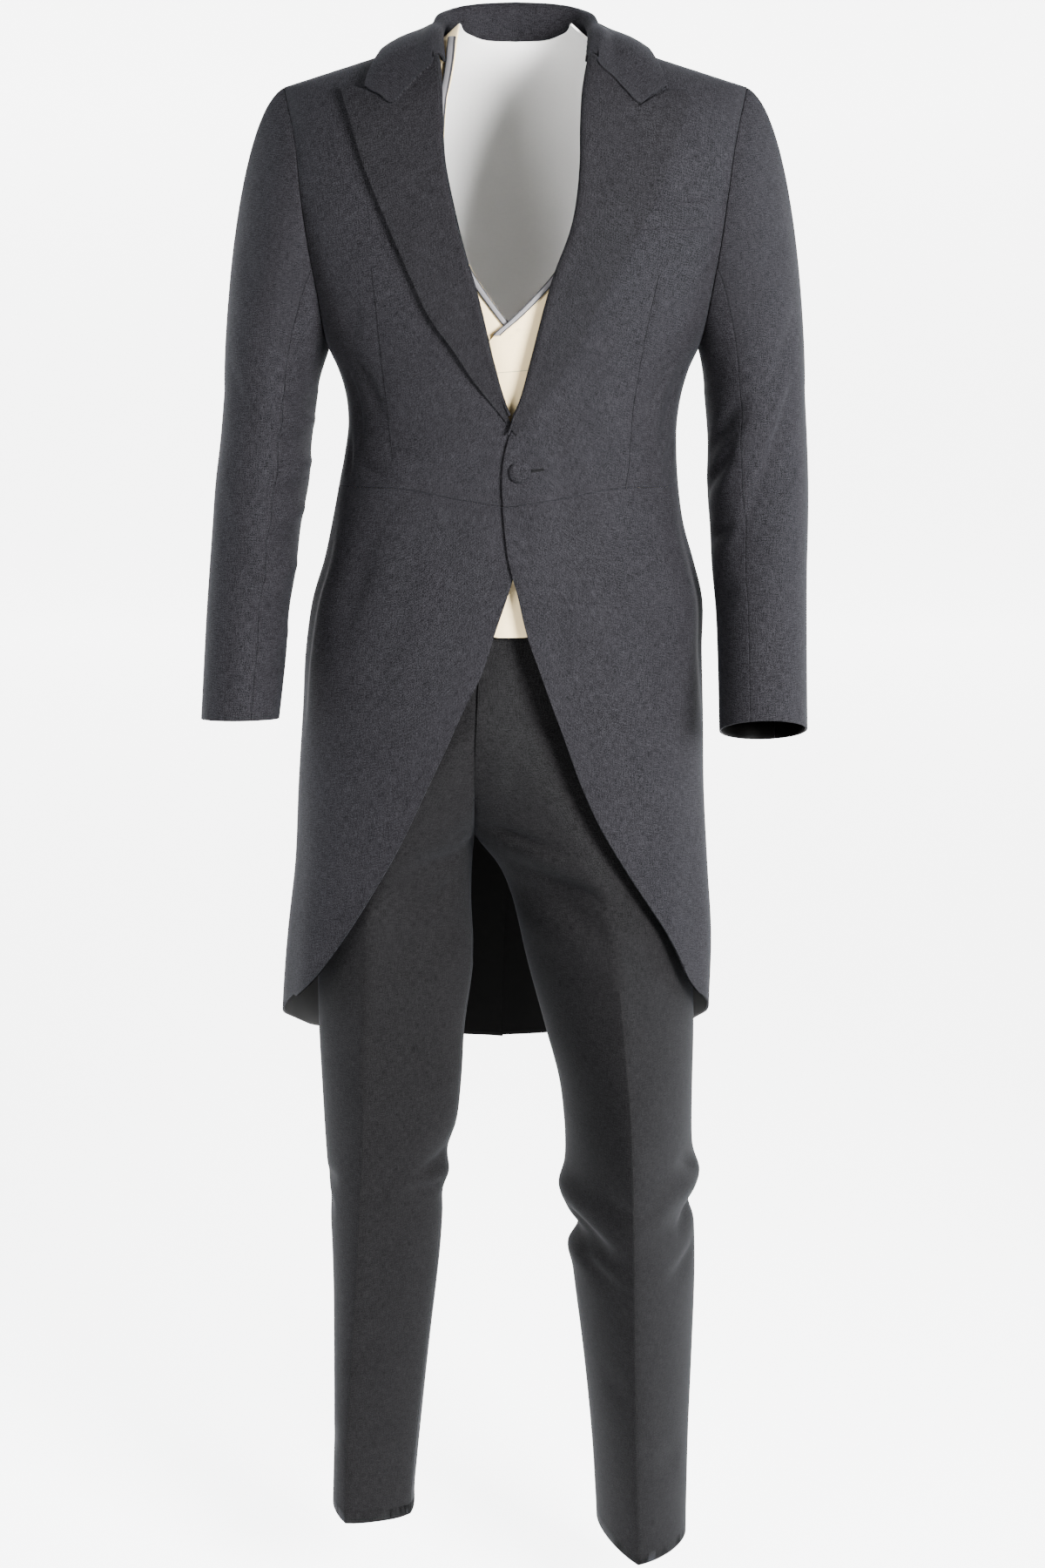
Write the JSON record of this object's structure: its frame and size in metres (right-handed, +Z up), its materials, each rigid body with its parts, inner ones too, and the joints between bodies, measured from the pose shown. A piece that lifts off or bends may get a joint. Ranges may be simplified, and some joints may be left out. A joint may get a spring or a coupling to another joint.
{
  "type": "morning suit",
  "caption": "Men's three-piece morning suit, worn and hollow: cutaway tailcoat with peaked lapels, cream wrap waistcoat and slim trousers with pressed creases.",
  "frame": {"origin": "on the mid-plane, level with the tips of the wearer's shoulders, where the wearer holds the suit up", "axes": "+X towards the wearer's left, -Y towards the front, +Z up"},
  "size_m": [0.5957, 0.3168, 1.5974],
  "materials": {
    "charcoal_wool": "matt worsted wool, slightly flecked",
    "waistcoat_cloth": "matt smooth cloth",
    "piping_satin": "soft satin"
  },
  "bodies": {
    "root": {"coat_back_left": "charcoal_wool", "coat_back_right": "charcoal_wool", "coat_backbutton_left": "charcoal_wool", "coat_backbutton_right": "charcoal_wool", "coat_breast_welt": "charcoal_wool", "coat_button": "charcoal_wool", "coat_collar": "charcoal_wool", "coat_front_left": "charcoal_wool", "coat_front_right": "charcoal_wool", "coat_lapel_left": "charcoal_wool", "coat_lapel_right": "charcoal_wool", "coat_side_left": "charcoal_wool", "coat_side_right": "charcoal_wool", "coat_skirt_left": "charcoal_wool", "coat_skirt_right": "charcoal_wool", "coat_topsleeve_left": "charcoal_wool", "coat_topsleeve_right": "charcoal_wool", "coat_undersleeve_left": "charcoal_wool", "coat_undersleeve_right": "charcoal_wool", "trouser_back_left": "charcoal_wool", "trouser_back_right": "charcoal_wool", "trouser_front_left": "charcoal_wool", "trouser_front_right": "charcoal_wool", "trouser_waistband": "charcoal_wool", "waistcoat_back": "waistcoat_cloth", "waistcoat_front_left": "waistcoat_cloth", "waistcoat_front_right": "waistcoat_cloth", "waistcoat_piping_left": "piping_satin", "waistcoat_piping_right": "piping_satin"}
  },
  "joints": []
}
